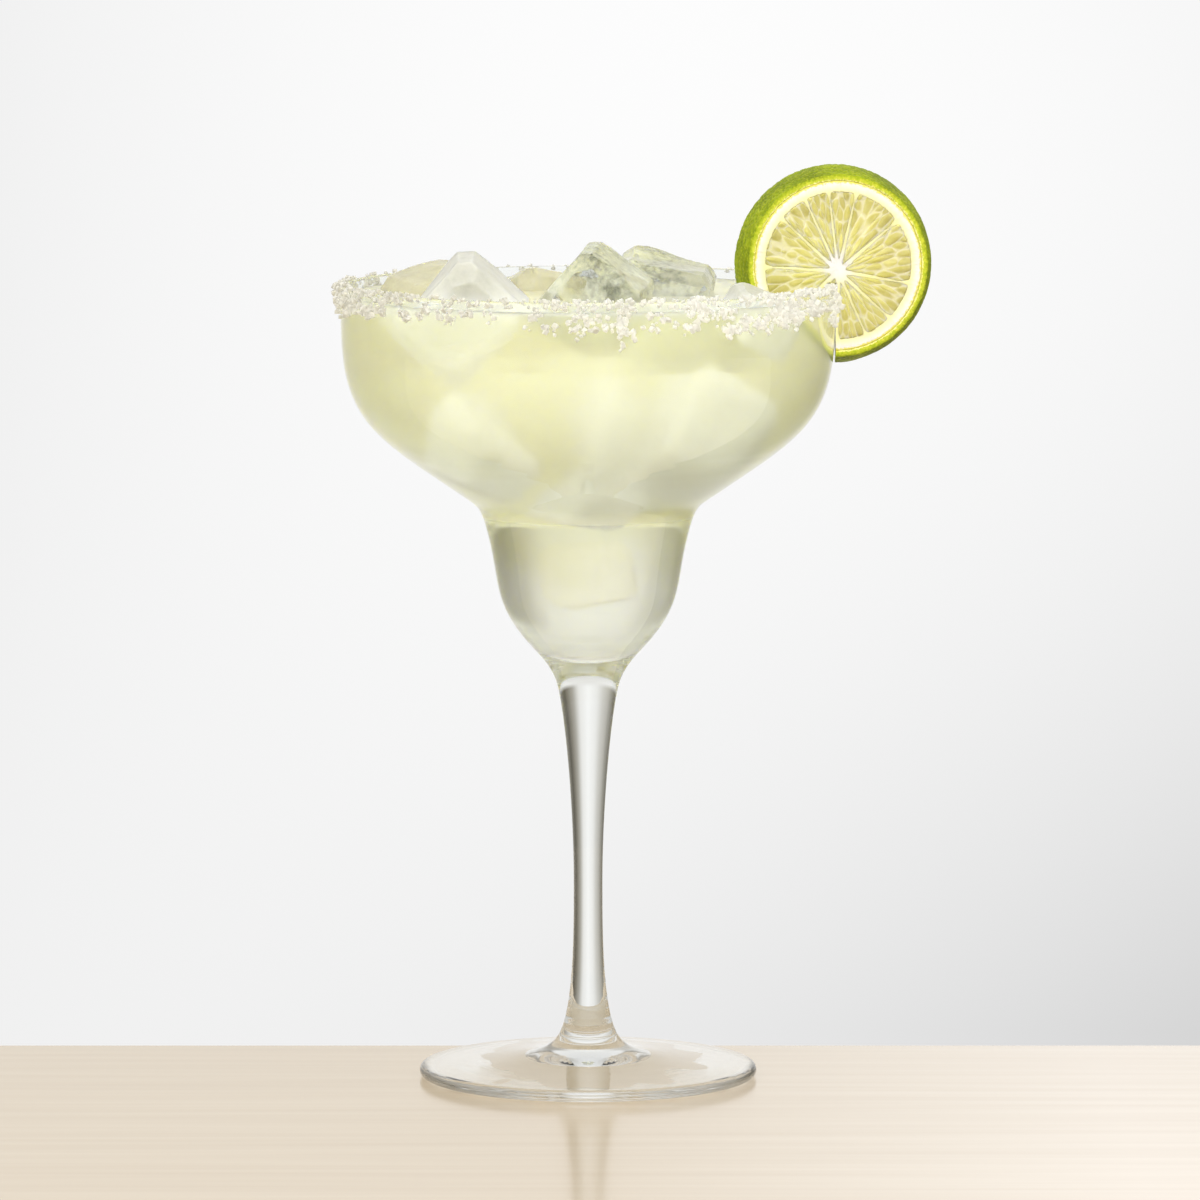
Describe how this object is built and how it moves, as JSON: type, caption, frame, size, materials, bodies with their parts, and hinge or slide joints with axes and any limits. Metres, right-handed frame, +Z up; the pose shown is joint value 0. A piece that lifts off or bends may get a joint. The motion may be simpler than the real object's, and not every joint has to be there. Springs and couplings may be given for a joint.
{
  "type": "margarita glass",
  "caption": "Stemmed cocktail glass with a wide bowl over a small cup, served with a cloudy drink, ice, a salted rim and a lime wheel that lifts off the rim",
  "frame": {"origin": "centre of the underside of the foot, on the axis of the glass", "axes": "+Z up the stem; +X towards the lime wheel; the picture looks along +Y"},
  "size_m": [0.1389, 0.1201, 0.212],
  "materials": {
    "clear_glass": "polished",
    "cloudy_drink": "gloss",
    "ice": "polished",
    "salt": "satin",
    "lime_peel": "satin",
    "lime_pith": "satin",
    "lime_pulp": "gloss"
  },
  "bodies": {
    "glass": {"foot": "clear_glass", "stem": "clear_glass", "bowl": "clear_glass", "drink": "cloudy_drink", "salt_rim": "salt", "ice_low_left": "ice", "ice_low_right": "ice", "ice_low_back": "ice", "ice_neck": "ice", "ice_cup": "ice"},
    "lime": {"lime_peel": "lime_peel", "lime_pith": "lime_pith", "lime_segment_1": "lime_pulp", "lime_segment_2": "lime_pulp", "lime_segment_3": "lime_pulp", "lime_segment_4": "lime_pulp", "lime_segment_5": "lime_pulp", "lime_segment_6": "lime_pulp", "lime_segment_7": "lime_pulp", "lime_segment_8": "lime_pulp", "lime_segment_9": "lime_pulp", "lime_segment_10": "lime_pulp", "lime_segment_11": "lime_pulp"},
    "left_ice": {"ice_left": "ice"},
    "back_left_ice": {"ice_back_left": "ice"},
    "back_ice": {"ice_back": "ice"},
    "centre_ice": {"ice_centre": "ice"},
    "centre_right_ice": {"ice_centre_right": "ice"},
    "right_ice": {"ice_right": "ice"}
  },
  "joints": [
    {"name": "lime_lift", "type": "slide", "parent": "glass", "child": "lime", "axis": [0, 0, 1], "range_m": [0, 0.032], "deforming": ["drink"]},
    {"name": "left_ice_lift", "type": "slide", "parent": "glass", "child": "left_ice", "axis": [0, 0, 1], "range_m": [0, 0.035], "deforming": ["drink"]},
    {"name": "back_left_ice_lift", "type": "slide", "parent": "glass", "child": "back_left_ice", "axis": [0, 0, 1], "range_m": [0, 0.035], "deforming": ["drink"]},
    {"name": "back_ice_lift", "type": "slide", "parent": "glass", "child": "back_ice", "axis": [0, 0, 1], "range_m": [0, 0.035], "deforming": ["drink"]},
    {"name": "centre_ice_lift", "type": "slide", "parent": "glass", "child": "centre_ice", "axis": [0, 0, 1], "range_m": [0, 0.035], "deforming": ["drink"]},
    {"name": "centre_right_ice_lift", "type": "slide", "parent": "glass", "child": "centre_right_ice", "axis": [0, 0, 1], "range_m": [0, 0.035], "deforming": ["drink"]},
    {"name": "right_ice_lift", "type": "slide", "parent": "glass", "child": "right_ice", "axis": [0, 0, 1], "range_m": [0, 0.035], "deforming": ["drink"]}
  ]
}
